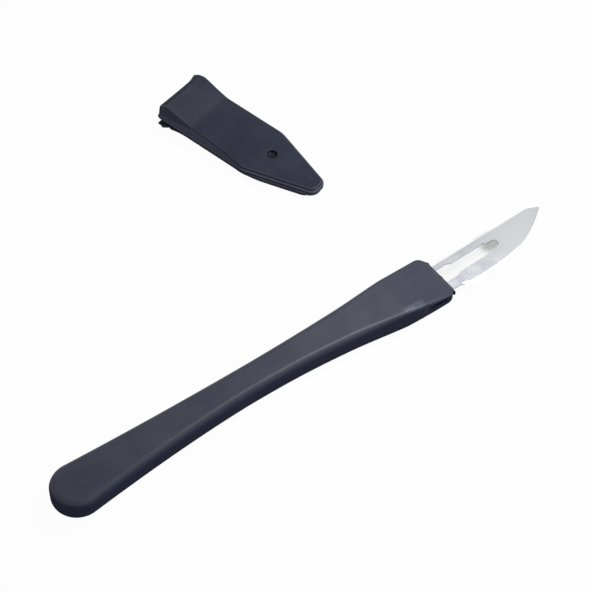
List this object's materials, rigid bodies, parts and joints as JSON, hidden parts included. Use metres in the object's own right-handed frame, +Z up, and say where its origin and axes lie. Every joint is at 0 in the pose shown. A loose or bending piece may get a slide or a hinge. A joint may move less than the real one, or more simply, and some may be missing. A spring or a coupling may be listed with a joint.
{
  "type": "scalpel",
  "caption": "Disposable scalpel with a waisted dark plastic handle, a slotted steel blade and its two-shell blade guard lying beside it.",
  "frame": {"origin": "on the flat underside of the handle, below its waist and on its middle line", "axes": "+X along the handle towards the blade, +Y towards the blade's spine and the guard, +Z up from the table"},
  "size_m": [0.1357, 0.0901, 0.0073],
  "materials": {
    "handle_plastic": "satin moulded charcoal-blue plastic with rounded, slightly shiny edges",
    "blade_steel": "satin stainless steel with a bright ground bevel",
    "guard_plastic": "satin moulded charcoal-blue plastic"
  },
  "bodies": {
    "root": {"handle": "handle_plastic", "blade": "blade_steel", "guard_upper_shell": "guard_plastic", "guard_lower_shell": "guard_plastic"}
  },
  "joints": []
}
